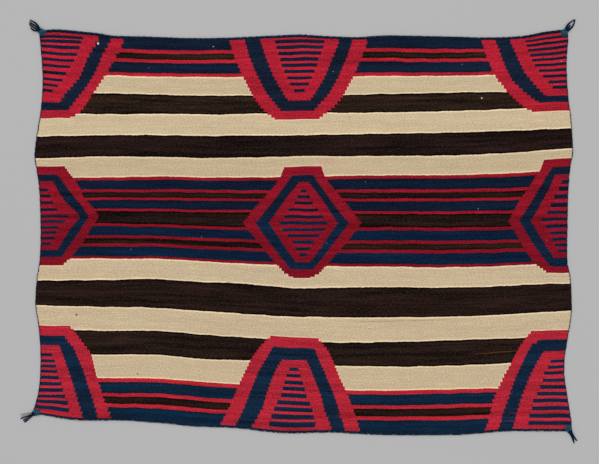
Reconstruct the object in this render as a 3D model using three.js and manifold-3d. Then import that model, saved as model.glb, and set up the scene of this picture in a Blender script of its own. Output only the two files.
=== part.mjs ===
// A chief blanket: a broad, weft-faced wool tapestry lying flat, with a twined cord along
// each of its four edges and a small tassel at each corner, where the cords are knotted off.
// Millimetres, +Z up. The cloth lies on z = 0, its width along X and its warps along Y, and
// the origin is under the middle of the whole.
import * as THREE from "three";
import { mergeVertices } from "three/addons/utils/BufferGeometryUtils.js";
import Module from "manifold-3d";

const wasm = await Module();
wasm.setup();

// Driving sizes.
const clothThickness = 2.4;
const seamGap = 0.4;
const endCordWidth = 4.8; // along the top and bottom, where the warps turn
const sideCordWidth = 3.4; // along the left and right, where the wefts turn
const cordSides = 8;
const edgeStep = 14; // length of one straight run of the cloth's edge and of its cord

// The four uneven outer edges, laid out as the cloth lies. Each column is read along the edge.
const topEdge = {
  across: [-884, -832, -749, -684, -632, -515, -380, -249, -114, 6, 72, 203, 303, 524, 655, 769, 851, 914],
  up: [689, 694, 687, 680, 672, 669, 664, 665, 671, 676, 672, 667, 673, 669, 666, 671, 686, 693],
};
const rightEdge = {
  across: [927, 930, 925, 925, 932, 939, 946, 945, 938, 930, 927, 926, 930, 938, 942, 940, 930, 924, 918, 916,
    918, 924, 933, 940, 942],
  up: [682, 655, 600, 534, 440, 396, 290, 255, 226, 134, -1, -87, -128, -163, -259, -299, -358, -396, -432,
    -475, -512, -550, -608, -649, -680],
};
const bottomEdge = {
  across: [934, 834, 720, 589, 524, 303, 172, 110, -28, -114, -215, -363, -446, -513, -601, -732, -798, -863,
    -897],
  up: [-691, -691, -691, -701, -704, -704, -698, -695, -698, -692, -680, -674, -665, -660, -654, -654, -649,
    -638, -632],
};
const leftEdge = {
  across: [-915, -907, -898, -892, -888, -888, -895, -905, -900, -890, -887, -891, -900, -908, -900, -889, -883,
    -880, -887, -892],
  up: [-622, -602, -569, -537, -484, -404, -321, -255, -163, -97, -1, 132, 205, 258, 331, 398, 450, 532, 631,
    681],
};

// The tassels. Heading is the way the middle strand points, counter-clockwise from +X in
// degrees, and spread is the angle between the outermost strands.
const tassels = [
  { name: "tassel_top_left", across: -894, up: 692, heading: 137, spread: 30, strands: 8, reach: 46 },
  { name: "tassel_top_right", across: 926, up: 694, heading: 51, spread: 9, strands: 5, reach: 47 },
  { name: "tassel_bottom_left", across: -914, up: -631, heading: 212, spread: 40, strands: 9, reach: 44 },
  { name: "tassel_bottom_right", across: 944, up: -694, heading: 300, spread: 22, strands: 6, reach: 46 },
];
const headLength = 12.4;
const headWidth = 14.4; // across the line in which the tassel points
const headHeight = 6;
const headSink = 0.3; // share of the head's round that is pressed flat underneath
const strandWidth = 1.1;
const rootPitch = 1.45; // between neighbouring strands where they leave the head
const rootOffset = 1.5; // from the middle of the head to the line of roots
const strandSteps = 8;
const lengthUnevenness = 0.14;
const strandCurl = 3.2;

const indigo = new THREE.MeshStandardMaterial({ color: 0x16273c, roughness: 0.95, metalness: 0 });
const web = new THREE.MeshStandardMaterial({ color: 0xc8b48f, roughness: 0.95, metalness: 0 });
const group = new THREE.Group();

function curveThrough({ across, up }) {
  return new THREE.SplineCurve(across.map((x, i) => new THREE.Vector2(x, up[i])));
}

// Points at even steps along a curve, moved to its right by a distance. The edges run
// clockwise round the cloth, so their right is towards its middle.
function inset(curve, distance) {
  const count = Math.ceil(curve.getLength() / edgeStep);
  return Array.from({ length: count + 1 }, (_, i) => {
    const ahead = curve.getTangentAt(i / count);
    return curve.getPointAt(i / count).add(new THREE.Vector2(ahead.y, -ahead.x).multiplyScalar(distance));
  });
}

function addMesh(name, geometry, material) {
  const mesh = new THREE.Mesh(geometry, material);
  mesh.name = name;
  group.add(mesh);
}

// A level tube of an even number of sides, lying on z = 0 on one of its flats.
function levelTube(points, width, sides, steps) {
  const apothem = width / 2;
  const turn = Math.PI / sides;
  const corner = apothem / Math.cos(turn);
  const section = new THREE.Shape(
    Array.from({ length: sides }, (_, i) => {
      const angle = turn * (2 * i + 1);
      return new THREE.Vector2(Math.cos(angle), Math.sin(angle)).multiplyScalar(corner);
    }),
  );
  const path = new THREE.CatmullRomCurve3(points.map((p) => new THREE.Vector3(p.x, p.y, apothem)));
  return new THREE.ExtrudeGeometry(section, { steps, extrudePath: path });
}

// Cloth: one flat sheet inside the four cords.
function cloth() {
  const endInset = endCordWidth + seamGap;
  const sideInset = sideCordWidth + seamGap;
  const outline = [
    ...inset(curveThrough(topEdge), endInset),
    ...inset(curveThrough(rightEdge), sideInset),
    ...inset(curveThrough(bottomEdge), endInset),
    ...inset(curveThrough(leftEdge), sideInset),
  ];
  return new THREE.ExtrudeGeometry(new THREE.Shape(outline), { depth: clothThickness, bevelEnabled: false });
}

// How far a tassel's head reaches from its middle in the direction of a vector.
function headReach({ heading }, towards) {
  const angle = towards.angle() - THREE.MathUtils.degToRad(heading);
  return 1 / Math.hypot(Math.cos(angle) / (headLength / 2), Math.sin(angle) / (headWidth / 2));
}

// Edge cord: lies along one edge and stops a hair short of the tassel heads at its two ends.
function edgeCord(edge, width, from, to) {
  const line = inset(curveThrough(edge), width / 2);
  const heads = [from, to].map((row) => new THREE.Vector2(row.across, row.up));
  const kept = line.filter((p) => heads.every((head) => p.distanceTo(head) > headWidth / 2 + seamGap));
  const [start, finish] = [kept[0], kept.at(-1)].map((last, i) => {
    const towards = last.clone().sub(heads[i]);
    return towards.setLength(headReach([from, to][i], towards) + seamGap).add(heads[i]);
  });
  const points = [start, ...kept, finish];
  return levelTube(points, width, cordSides, points.length - 1);
}

function unitVector(degrees) {
  const angle = THREE.MathUtils.degToRad(degrees);
  return new THREE.Vector2(Math.cos(angle), Math.sin(angle));
}

function asSolid(geometry) {
  const bare = geometry.index ? geometry.toNonIndexed() : geometry.clone();
  bare.deleteAttribute("normal");
  bare.deleteAttribute("uv");
  const merged = mergeVertices(bare, 1e-3);
  return new wasm.Manifold(
    new wasm.Mesh({
      numProp: 3,
      vertProperties: merged.attributes.position.array,
      triVerts: new Uint32Array(merged.index.array),
    }),
  );
}

function asGeometry(solid) {
  const { vertProperties, triVerts } = solid.getMesh();
  const geometry = new THREE.BufferGeometry();
  geometry.setAttribute("position", new THREE.BufferAttribute(vertProperties, 3));
  geometry.setIndex(new THREE.BufferAttribute(triVerts, 1));
  geometry.computeVertexNormals();
  return geometry;
}

// Tassel head: a wrapped knot, pressed flat where it lies.
function tasselHead({ across, up, heading }) {
  const roundHeight = headHeight / (1 - headSink);
  const knot = new THREE.SphereGeometry(1, 16, 12);
  knot.rotateX(Math.PI / 2);
  knot.scale(headLength / 2, headWidth / 2, roundHeight / 2);
  knot.rotateZ(THREE.MathUtils.degToRad(heading));
  knot.translate(across, up, headHeight - roundHeight / 2);
  return asSolid(knot).trimByPlane([0, 0, 1], 0);
}

// Tassel: the knot with its loose strands fanned out level on the floor, each curling a
// little away from the middle one.
function tassel(row) {
  const { across, up, heading, spread, strands, reach } = row;
  const ahead = unitVector(heading);
  const outward = unitVector(heading + 90);
  const middleStrand = (strands - 1) / 2;
  let whole = tasselHead(row);
  for (let i = 0; i < strands; i++) {
    const share = i / middleStrand - 1;
    const forward = unitVector(heading + (share * spread) / 2);
    const root = new THREE.Vector2(across, up)
      .addScaledVector(ahead, rootOffset)
      .addScaledVector(outward, share * middleStrand * rootPitch);
    const length = reach * (1 - (lengthUnevenness * ((i * 3) % 4)) / 3) - rootOffset;
    const points = [0, 0.5, 1].map((t) =>
      root
        .clone()
        .addScaledVector(forward, t * length)
        .addScaledVector(outward, share * strandCurl * t * t),
    );
    whole = whole.add(asSolid(levelTube(points, strandWidth, 4, strandSteps)));
  }
  return asGeometry(whole);
}

const [topLeft, topRight, bottomLeft, bottomRight] = tassels;
addMesh("blanket", cloth(), web);
addMesh("cord_top", edgeCord(topEdge, endCordWidth, topLeft, topRight), indigo);
addMesh("cord_right", edgeCord(rightEdge, sideCordWidth, topRight, bottomRight), indigo);
addMesh("cord_bottom", edgeCord(bottomEdge, endCordWidth, bottomRight, bottomLeft), indigo);
addMesh("cord_left", edgeCord(leftEdge, sideCordWidth, bottomLeft, topLeft), indigo);
tassels.forEach((row) => addMesh(row.name, tassel(row), indigo));

// The origin goes under the middle of everything that lies on the floor.
const middle = new THREE.Box3().setFromObject(group).getCenter(new THREE.Vector3());
group.children.forEach((mesh) => mesh.position.set(-middle.x, -middle.y, 0));

export default group;
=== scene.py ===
"""A chief blanket lying flat: a weft-faced wool web, four twisted edge cords and four corner tassels."""

import math

import bpy
import numpy as np
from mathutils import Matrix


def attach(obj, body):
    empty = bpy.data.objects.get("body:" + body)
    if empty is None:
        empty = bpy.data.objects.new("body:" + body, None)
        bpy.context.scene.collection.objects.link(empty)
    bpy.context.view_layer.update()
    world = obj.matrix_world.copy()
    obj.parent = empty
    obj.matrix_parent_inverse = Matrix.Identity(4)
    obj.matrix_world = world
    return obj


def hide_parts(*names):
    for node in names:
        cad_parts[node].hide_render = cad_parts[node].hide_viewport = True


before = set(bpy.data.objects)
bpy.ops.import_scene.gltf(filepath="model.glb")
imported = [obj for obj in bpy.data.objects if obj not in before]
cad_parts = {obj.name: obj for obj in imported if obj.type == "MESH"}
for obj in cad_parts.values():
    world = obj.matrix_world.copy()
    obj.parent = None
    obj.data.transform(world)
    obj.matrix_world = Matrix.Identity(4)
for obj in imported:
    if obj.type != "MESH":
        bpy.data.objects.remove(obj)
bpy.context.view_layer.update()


# Floor, light and camera. The camera looks straight down on the middle of the cloth, from so
# far up that the photograph's 599 pixels span 2.06 m at the cloth's upper face.
def add_node(tree, kind, inputs=None, **settings):
    """Adds a node, sets its own settings, then fills its inputs with values or with other nodes' outputs."""
    node = tree.nodes.new(kind)
    for name, value in settings.items():
        setattr(node, name, value)
    for key, value in (inputs or {}).items():
        if isinstance(value, bpy.types.NodeSocket):
            tree.links.new(value, node.inputs[key])
        else:
            node.inputs[key].default_value = value
    return node


def linear(red, green, blue):
    """A colour on a 0 to 255 screen scale, as the linear light that Blender works in."""
    share = np.array([red, green, blue]) / 255
    low, high = share / 12.92, ((share + 0.055) / 1.055) ** 2.4
    return (*np.where(share <= 0.04045, low, high).tolist(), 1.0)


def finish_piece(piece, slot, *nodes):
    """A finished piece lies with the part's one body, and the CAD parts that it stands for are hidden; its
    slot is not used.
    """
    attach(piece, "root")
    if nodes:
        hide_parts(*nodes)


def add_object(name, mesh):
    piece = bpy.data.objects.new(name, mesh)
    bpy.context.scene.collection.objects.link(piece)
    return piece


FLOOR_REACH = 14.0
FLOOR_DROP = 0.0002  # so that the floor and the cloth's underside never share one plane
FLOOR_GREY = linear(184, 184, 185)
CORNER_SIGNS = ((-1, -1), (1, -1), (1, 1), (-1, 1))
floor_corners = [(right * FLOOR_REACH, up * FLOOR_REACH, -FLOOR_DROP) for right, up in CORNER_SIGNS]
floor_mesh = bpy.data.meshes.new("floor")
floor_mesh.from_pydata(floor_corners, [], [(0, 1, 2, 3)])
floor = add_object("floor", floor_mesh)
paper = bpy.data.materials.new("matt paper")
paper.use_nodes = True
paper_surface = paper.node_tree.nodes["Principled BSDF"]
paper_surface.inputs["Base Color"].default_value = FLOOR_GREY
paper_surface.inputs["Roughness"].default_value = 0.95
paper_surface.inputs["Specular IOR Level"].default_value = 0.1
floor_mesh.materials.append(paper)

ROOM_LIGHT = 0.74
SOFTBOX_SIDE = 5.0
SOFTBOX_WATTS = 96.0
SOFTBOX_PLACE = (-0.25, 0.5, 5.6)
SOFTBOX_LEAN = (-5.0, -2.5, 0.0)  # degrees, so that it looks at the middle of the cloth
world = bpy.data.worlds.new("studio")
world.use_nodes = True
world.node_tree.nodes["Background"].inputs["Color"].default_value = (1.0, 1.0, 1.0, 1.0)
world.node_tree.nodes["Background"].inputs["Strength"].default_value = ROOM_LIGHT
bpy.context.scene.world = world

softbox = bpy.data.lights.new("softbox", "AREA")
softbox.shape = "SQUARE"
softbox.size = SOFTBOX_SIDE
softbox.energy = SOFTBOX_WATTS
softbox_stand = bpy.data.objects.new("softbox", softbox)
softbox_stand.location = SOFTBOX_PLACE
softbox_stand.rotation_euler = [math.radians(angle) for angle in SOFTBOX_LEAN]
bpy.context.scene.collection.objects.link(softbox_stand)

VIEW_WIDTH = 2.0603
VIEW_MIDDLE = (-0.0027, -0.0022)
VIEW_HEIGHT = 0.002  # of the cloth's upper face, where the view has its width
lens = bpy.data.cameras.new("camera")
lens.lens = 100.0
lens.sensor_width = 36.0
camera = bpy.data.objects.new("camera", lens)
camera.location = (*VIEW_MIDDLE, VIEW_WIDTH * lens.lens / lens.sensor_width + VIEW_HEIGHT)
bpy.context.scene.collection.objects.link(camera)
bpy.context.scene.camera = camera
bpy.context.scene.view_settings.view_transform = "Standard"


# Web: one weft-faced tapestry cloth of handspun wool, with wool wefts beaten down over wool
# warps that run from top to bottom. It is woven in one piece, so its stripes bow with the
# warps' uneven tension. Depth is measured down from the top edge, and across from the left.
WEB_WIDTH = 1.83
WEB_THICKNESS = 0.0024
ROW_HEIGHT = 0.006
COLUMN_WIDTH = 0.0066
UNDERSIDE_SHARE = 6  # columns of the top to one of the underside
TOOTH = 0.00035  # how far a stripe's last weft rides up or down from warp to warp
EDGE_STEPS = (0.0007, 0.002)  # finer rows and columns, where the edge rounds over

# Stripes from top to bottom in four sections, as the wool was dyed in lots: each section's
# colours, then its stripes, each a yarn and a height in millimetres.
SECTIONS = [
    ({"indigo": (12, 26, 46), "red": (174, 29, 46), "brown": (36, 23, 15), "cream": (198, 178, 145)},
     [("indigo", 38), ("red", 11.6), ("brown", 21), ("red", 10.9), ("indigo", 35.5), ("red", 11.6),
      ("cream", 66), ("brown", 62.4), ("cream", 78.3)]),
    ({"indigo": (8, 24, 45), "red": (144, 17, 34), "brown": (28, 15, 12), "cream": (195, 175, 142)},
     [("brown", 71.4), ("cream", 71), ("red", 10.2), ("indigo", 33.1), ("red", 9.2), ("brown", 18.8),
      ("red", 8.2), ("indigo", 30.7), ("red", 8), ("brown", 44.6)]),
    ({"indigo": (5, 28, 53), "red": (131, 13, 30), "brown": (32, 18, 13), "cream": (200, 179, 147)},
     [("red", 9.4), ("indigo", 30.8), ("red", 9.3), ("brown", 18.2), ("red", 10.1), ("indigo", 33.6),
      ("red", 8.6), ("cream", 69.7), ("brown", 96.6)]),
    ({"indigo": (7, 33, 55), "red": (181, 35, 48), "brown": (30, 18, 13), "cream": (199, 178, 146)},
     [("cream", 84.2), ("brown", 79), ("cream", 85.2), ("red", 13), ("indigo", 36.6), ("red", 11.2),
      ("brown", 25.8), ("red", 12.7), ("indigo", 44.9)]),
]  # fmt: skip
STRIPES = [(yarn, height, dyes[yarn]) for dyes, stripes in SECTIONS for yarn, height in stripes]

# Where the wefts bow: how many stripes lie above the weft, and the weft's height over the middle
# of the blanket in millimetres at eleven stations, which are shares of the width.
STATIONS = [0, 0.06, 0.125, 0.2075, 0.325, 0.365, 0.4925, 0.61, 0.835, 0.95, 1]
BOWED_WEFTS = [
    (2, [631, 624, 619, 612, 611, 612, 618, 619, 616, 626, 635]),
    (6, [545, 537, 537, 532, 531, 531, 533, 534, 537, 546, 550]),
    (7, [484, 476, 475, 471, 467, 467, 468, 471, 479, 480, 484]),
    (8, [405, 404, 403, 404, 402, 403, 408, 408, 417, 426, 429]),
    (9, [326, 329, 331, 331, 329, 329, 331, 335, 343, 351, 355]),
    (10, [251, 254, 257, 257, 252, 253, 258, 259, 265, 279, 286]),
    (11, [183, 184, 186, 188, 186, 185, 188, 192, 196, 206, 211]),
    (18, [70, 70, 70, 69, 66, 65, 64, 61, 61, 65, 68]),
    (19, [27, 27, 27, 25, 17, 15, 10, 14, 14, 20, 24]),
    (26, [-95, -94, -94, -94, -105, -109, -118, -121, -122, -113, -110]),
    (27, [-169, -168, -167, -164, -175, -178, -195, -192, -191, -181, -179]),
    (28, [-253, -257, -260, -262, -276, -281, -294, -296, -290, -278, -273]),
    (29, [-339, -340, -342, -341, -357, -361, -379, -382, -371, -365, -364]),
    (30, [-420, -422, -424, -424, -440, -442, -457, -464, -459, -447, -445]),
    (31, [-500, -502, -505, -505, -520, -525, -540, -547, -541, -536, -535]),
    (34, [-561, -562, -568, -569, -585, -590, -602, -610, -605, -601, -600]),
]
CORNER_LEAN = 0.5  # so that a blunt corner's short slope counts as the side's and not as the end's


def outline_sides(node):
    """The four sides of a flat cloth's outline, each running left to right or top to bottom."""
    points = np.unique(np.round([vertex.co[:2] for vertex in node.data.vertices], 6), axis=0)
    points = points[np.argsort(np.arctan2(points[:, 1], points[:, 0]))]

    def corner(right, up):
        return int(np.argmax(right * CORNER_LEAN * points[:, 0] + up * points[:, 1]))

    def side(start, end):
        return np.roll(points, -start, axis=0)[: (end - start) % len(points) + 1]

    top_left, top_right = corner(-1, 1), corner(1, 1)
    bottom_left, bottom_right = corner(-1, -1), corner(1, -1)
    return {
        "top": side(top_right, top_left)[::-1],
        "right": side(bottom_right, top_right)[::-1],
        "bottom": side(bottom_left, bottom_right),
        "left": side(top_left, bottom_left),
    }


def smooth_through(stations, values, at):
    """A curve through the values at the stations, read off at other places."""
    stations, values = np.array(stations, float), np.array(values, float)
    slopes = np.gradient(values, stations)
    index = np.clip(np.searchsorted(stations, at) - 1, 0, len(stations) - 2)
    gap = stations[index + 1] - stations[index]
    t = (at - stations[index]) / gap
    start = (2 * t**3 - 3 * t**2 + 1) * values[index] + (t**3 - 2 * t**2 + t) * gap * slopes[index]
    end = (3 * t**2 - 2 * t**3) * values[index + 1] + (t**3 - t**2) * gap * slopes[index + 1]
    return start + end


def with_edge_steps(lines):
    """Adds the finer steps at both ends of a run of rows or columns."""
    near = [lines[0] + step for step in EDGE_STEPS]
    far = [lines[-1] - step for step in reversed(EDGE_STEPS)]
    return np.array([lines[0], *near, *lines[1:-1], *far, lines[-1]])


sides = outline_sides(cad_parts["blanket"])
stripe_ends = np.cumsum([0, *(height / 1000 for _, height, _ in STRIPES)])
WEB_DEPTH = float(stripe_ends[-1])
row_lines = [0.0]
for start, end in zip(stripe_ends, stripe_ends[1:]):
    row_lines.extend(np.linspace(start, end, max(1, round((end - start) / ROW_HEIGHT)) + 1)[1:])
depths = with_edge_steps(row_lines)
acrosses = with_edge_steps(np.linspace(0, WEB_WIDTH, round(WEB_WIDTH / COLUMN_WIDTH) + 1))
row_stripes = np.searchsorted(stripe_ends, (depths[1:] + depths[:-1]) / 2) - 1
is_join = np.isin(np.round(depths, 6), np.round(stripe_ends[1:-1], 6))


# Paces and slants are in radians of a wave to the metre.
WANDER, WANDER_WAVES, WANDER_PACES = 0.00035, 8, (60, 380)
RIPPLE, RIPPLE_WAVES, RIPPLE_PACES, RIPPLE_SLANTS = 0.0008, 9, (14, 90), (-70, 70)
RIPPLE_FADE = 0.03  # from the top and bottom edges to where the ripple is whole


def wander(along, seed):
    """How far an edge strays to either side of its line, the way hand-packed wool does."""
    chance = np.random.default_rng(seed)
    waves = [(chance.uniform(*WANDER_PACES), chance.uniform(0, math.tau)) for _ in range(WANDER_WAVES)]
    return WANDER * sum(np.sin(pace * along + phase) for pace, phase in waves) / 2


def weft_ripple(across, depth):
    """How far the wefts wander up and down between the bows, fading out at the top and bottom."""
    chance = np.random.default_rng(11)
    ripple = np.zeros(np.broadcast(across, depth).shape)
    for _ in range(RIPPLE_WAVES):
        pace, slant = chance.uniform(*RIPPLE_PACES), chance.uniform(*RIPPLE_SLANTS)
        phase = chance.uniform(0, math.tau)
        ripple += RIPPLE / 3 * np.sin(pace * across + slant * depth + phase)
    return ripple * np.clip(np.minimum(depth, WEB_DEPTH - depth) / RIPPLE_FADE, 0, 1)


def lay_out_web():
    """The place of each crossing of a row line and a column line, as two grids of x and y."""
    share = acrosses / WEB_WIDTH
    top, right, bottom, left = (sides[name] for name in ("top", "right", "bottom", "left"))
    end_rows = {}
    for index, edge in ((0, top), (len(STRIPES), bottom)):
        row = np.interp(edge[0, 0] + share * (edge[-1, 0] - edge[0, 0]), edge[:, 0], edge[:, 1])
        end_rows[index] = row + wander(acrosses, index)
    known = [(0, end_rows[0])]
    known += [(index, smooth_through(STATIONS, heights, share) / 1000) for index, heights in BOWED_WEFTS]
    known += [(len(STRIPES), end_rows[len(STRIPES)])]
    known_depths = stripe_ends[[index for index, _ in known]]
    known_heights = np.array([heights for _, heights in known])
    grid_y = np.array([np.interp(depths, known_depths, column) for column in known_heights.T]).T
    grid_y += weft_ripple(share[None, :] * WEB_WIDTH, depths[:, None])
    teeth = np.random.default_rng(23).normal(0, TOOTH, grid_y.shape)
    grid_y += np.where(is_join[:, None], teeth, 0.0)
    left_x = np.interp(-grid_y[:, 0], -left[:, 1], left[:, 0]) + wander(depths, 51)
    right_x = np.interp(-grid_y[:, -1], -right[:, 1], right[:, 0]) + wander(depths, 52)
    grid_x = left_x[:, None] + share[None, :] * (right_x - left_x)[:, None]
    return grid_x, grid_y


grid_x, grid_y = lay_out_web()

# The cloth's low swells: height, pace across, pace up and phase of each.
SWELLS = [(0.00032, 13.1, 4.3, 0.7), (0.00026, -7.7, 21.0, 2.1), (0.00018, 31.0, 11.0, 0.0)]
SWELL_FADE = 0.02  # from the edge to where the swells are whole
TENSION_STRAY = 0.00006  # how far a slack or tight weft stands up or lies low
JOIN_DIP = 0.00016
RIM_SHARE = 0.6  # of the web's thickness, which its rounded edge still has


def web_heights():
    """The web's upper face: slow swells, a slack or tight weft here and there, and a rounded edge."""
    swells = sum(
        height * np.sin(grid_x * across + grid_y * up + phase) for height, across, up, phase in SWELLS
    )
    tension = np.random.default_rng(7).normal(0, TENSION_STRAY, len(depths))[:, None]
    joins = is_join[:, None] * -JOIN_DIP
    from_side = np.minimum(acrosses, WEB_WIDTH - acrosses)[None, :]
    from_end = np.minimum(depths, WEB_DEPTH - depths)[:, None]
    from_edge = np.minimum(from_side, from_end)
    inward = np.clip(from_edge / EDGE_STEPS[-1], 0, 1)
    rounding = np.sqrt(1 - (1 - inward) ** 2)
    crown = WEB_THICKNESS * (RIM_SHARE + (1 - RIM_SHARE) * rounding)
    return crown + np.clip(from_edge / SWELL_FADE, 0, 1) * (swells + tension + joins)


def grid_faces(rows, columns, first, flipped):
    """Four-sided faces of a grid of vertices, facing up, or down where flipped."""
    index = first + np.arange(rows * columns).reshape(rows, columns)
    corners = [index[:-1, :-1], index[1:, :-1], index[1:, 1:], index[:-1, 1:]]
    faces = np.stack([corner.ravel() for corner in corners], axis=1)
    return faces[:, ::-1] if flipped else faces


# How unevenly each yarn took its colour.
YARN_UNEVENNESS = {"indigo": 0.52, "red": 0.42, "brown": 0.8, "cream": 0.19}
# How much darker a yarn is painted where it is packed against the next stripe, as painted shade where the
# packed wefts sit lower, and how much lighter the cream is painted there, as a painted highlight.
JOIN_SHADE_AND_HIGHLIGHT = {"indigo": -0.25, "red": -0.1, "brown": -1.0, "cream": 0.42}
FULL_JOIN_SHADE_HEIGHT = 60  # millimetres of a stripe; its joins show less the narrower it is
BATCH_STRAY = 0.025


def stripe_colour(index):
    """A stripe's own colour, a little off its dye as each batch is, then its yarn's unevenness."""
    yarn, _, dye = STRIPES[index]
    batch = np.random.default_rng(100 + index).normal(1, BATCH_STRAY)
    return (*(np.array(linear(*dye))[:3] * batch), YARN_UNEVENNESS[yarn])


stripe_colours = np.array([stripe_colour(index) for index in range(len(STRIPES))])

# The bake lays the web's upper face over most of its picture, with the rim as a thin skirt
# round it and the underside pressed into the strip below.
FACE_LEFT, FACE_WIDTH = 0.01, 0.98
FACE_FOOT, FACE_HEIGHT = 0.258, 0.732
BACK_FOOT, BACK_HEIGHT = 0.006, 0.24
SKIRT = 0.004


def web_rim(rows, columns, picks):
    """Faces between the web's two sides, with the stripe that each lies in and its way outwards."""
    first_under = rows * columns
    faces, stripes, outwards = [], [], []
    last_top, last_under = columns - 1, len(picks) - 1
    for row in range(rows - 1):
        upper, lower = row * columns, (row + 1) * columns
        upper_back, lower_back = first_under + row * len(picks), first_under + (row + 1) * len(picks)
        faces.append([lower, upper, upper_back, lower_back])
        faces.append([upper + last_top, lower + last_top, lower_back + last_under, upper_back + last_under])
        stripes += [row_stripes[row]] * 2
        outwards += [(-1, 0), (1, 0)]
    for row, up in ((0, 1), (rows - 1, -1)):
        for pick in range(len(picks) - 1):
            along = [row * columns + column for column in range(picks[pick], picks[pick + 1] + 1)]
            back = first_under + row * len(picks) + pick
            face = [*along, back + 1, back]
            faces.append(face if up < 0 else face[::-1])
            stripes.append(row_stripes[0 if row == 0 else -1])
            outwards.append((0, up))
    return faces, stripes, outwards


def lay_for_bake(mesh, loom, is_under, under_start, rim_start, rim_outwards):
    """The bake's own map: the upper face, the underside in its strip, and the rim's skirt."""
    rightwards, upwards = loom[:, 0] / WEB_WIDTH, 1 - loom[:, 1] / WEB_DEPTH
    spots = np.stack([FACE_LEFT + FACE_WIDTH * rightwards, FACE_FOOT + FACE_HEIGHT * upwards], axis=1)
    under_corners = slice(mesh.polygons[under_start].loop_start, mesh.polygons[rim_start].loop_start)
    spots[under_corners, 1] = BACK_FOOT + BACK_HEIGHT * upwards[under_corners]
    for face, (right, up) in zip(mesh.polygons[rim_start:], rim_outwards):
        for corner in face.loop_indices:
            if is_under[corner]:
                spots[corner] += (right * SKIRT, up * SKIRT)
    mesh.uv_layers.new(name="OFBake").uv.foreach_set("vector", spots.ravel())


def dye_web(mesh, stripes, at_join):
    """Gives each face its stripe's yarn, and marks where two stripes join and the painted shade, on cream a
    painted highlight, that the join gives each stripe.
    """
    colours = mesh.attributes.new("yarn", "FLOAT_COLOR", "FACE")
    colours.data.foreach_set("color", stripe_colours[stripes].ravel())
    mesh.attributes.new("join", "FLOAT", "POINT").data.foreach_set("value", at_join.astype(np.float32))
    join_shades = np.array([JOIN_SHADE_AND_HIGHLIGHT[yarn] * min(height / FULL_JOIN_SHADE_HEIGHT, 1) for yarn, height, _ in STRIPES])
    join_shade = mesh.attributes.new("join shade and highlight", "FLOAT", "FACE")
    join_shade.data.foreach_set("value", join_shades.astype(np.float32)[stripes])


def weave_web():
    """The closed web: fine upper face, coarser underside, and a rim between them."""
    rows, columns = grid_x.shape
    picks = np.unique([*range(0, columns, UNDERSIDE_SHARE), columns - 1])
    on_floor = np.zeros((rows, len(picks)))
    top = np.stack([grid_x, grid_y, web_heights()], axis=-1).reshape(-1, 3)
    under = np.stack([grid_x[:, picks], grid_y[:, picks], on_floor], axis=-1).reshape(-1, 3)
    top_faces = grid_faces(rows, columns, 0, False).tolist()
    under_faces = grid_faces(rows, len(picks), len(top), True).tolist()
    rim_faces, rim_stripes, rim_outwards = web_rim(rows, columns, picks)
    mesh = bpy.data.meshes.new("web")
    mesh.from_pydata(np.concatenate([top, under]).tolist(), [], [*top_faces, *under_faces, *rim_faces])

    across = np.concatenate([np.tile(acrosses, rows), np.tile(acrosses[picks], rows)])
    depth = np.concatenate([np.repeat(depths, columns), np.repeat(depths, len(picks))])
    corner_vertices = np.empty(len(mesh.loops), int)
    mesh.loops.foreach_get("vertex_index", corner_vertices)
    loom = np.stack([across, depth], axis=1)[corner_vertices]
    mesh.uv_layers.new(name="Loom").uv.foreach_set("vector", loom.ravel())
    rim_start = len(top_faces) + len(under_faces)
    lay_for_bake(mesh, loom, corner_vertices >= len(top), len(top_faces), rim_start, rim_outwards)
    mesh.uv_layers["Loom"].active_render = True

    sheet_stripes = [np.repeat(row_stripes, columns - 1), np.repeat(row_stripes, len(picks) - 1)]
    at_join = np.concatenate([np.repeat(is_join, columns), np.repeat(is_join, len(picks))])
    dye_web(mesh, np.concatenate([*sheet_stripes, rim_stripes]), at_join)
    mesh.polygons.foreach_set("use_smooth", np.ones(len(mesh.polygons), bool))
    return mesh


web = add_object("web", weave_web())


# Wool: the shading that every yarn of the blanket shares. Handspun wool is thick and thin,
# takes the dye in streaks, and has a dull face with a little fuzz.
def new_group(name, kind, inputs, outputs):
    """An empty node group with its named sockets, and its two end nodes."""
    group = bpy.data.node_groups.new(name, kind)
    for label, socket_type, value in inputs:
        socket = group.interface.new_socket(label, in_out="INPUT", socket_type=socket_type)
        if value is not None:
            socket.default_value = value
    for label, socket_type in outputs:
        group.interface.new_socket(label, in_out="OUTPUT", socket_type=socket_type)
    return group, group.nodes.new("NodeGroupInput").outputs, group.nodes.new("NodeGroupOutput").inputs


def calculate(tree, operation, *values):
    """A Math node's result."""
    return add_node(tree, "ShaderNodeMath", dict(enumerate(values)), operation=operation).outputs[0]


def combine(tree, operation, *values):
    """A Vector Math node's result."""
    return add_node(tree, "ShaderNodeVectorMath", dict(enumerate(values)), operation=operation).outputs[0]


NOISE_SPAN = (0.25, 0.75)  # where nearly all of Blender's noise lies


def uneven(tree, place, patches, detail, low, high):
    """Noise with so many patches to the metre each way, as a factor that runs from low to high."""
    spread = combine(tree, "MULTIPLY", place, patches)
    cloud = add_node(tree, "ShaderNodeTexNoise", {"Vector": spread, "Scale": 1.0, "Detail": detail})
    ends = ("From Min", "From Max", "To Min", "To Max")
    spans = {"Value": cloud.outputs["Fac"], **dict(zip(ends, (*NOISE_SPAN, low, high)))}
    return add_node(tree, "ShaderNodeMapRange", spans).outputs["Result"]


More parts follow.
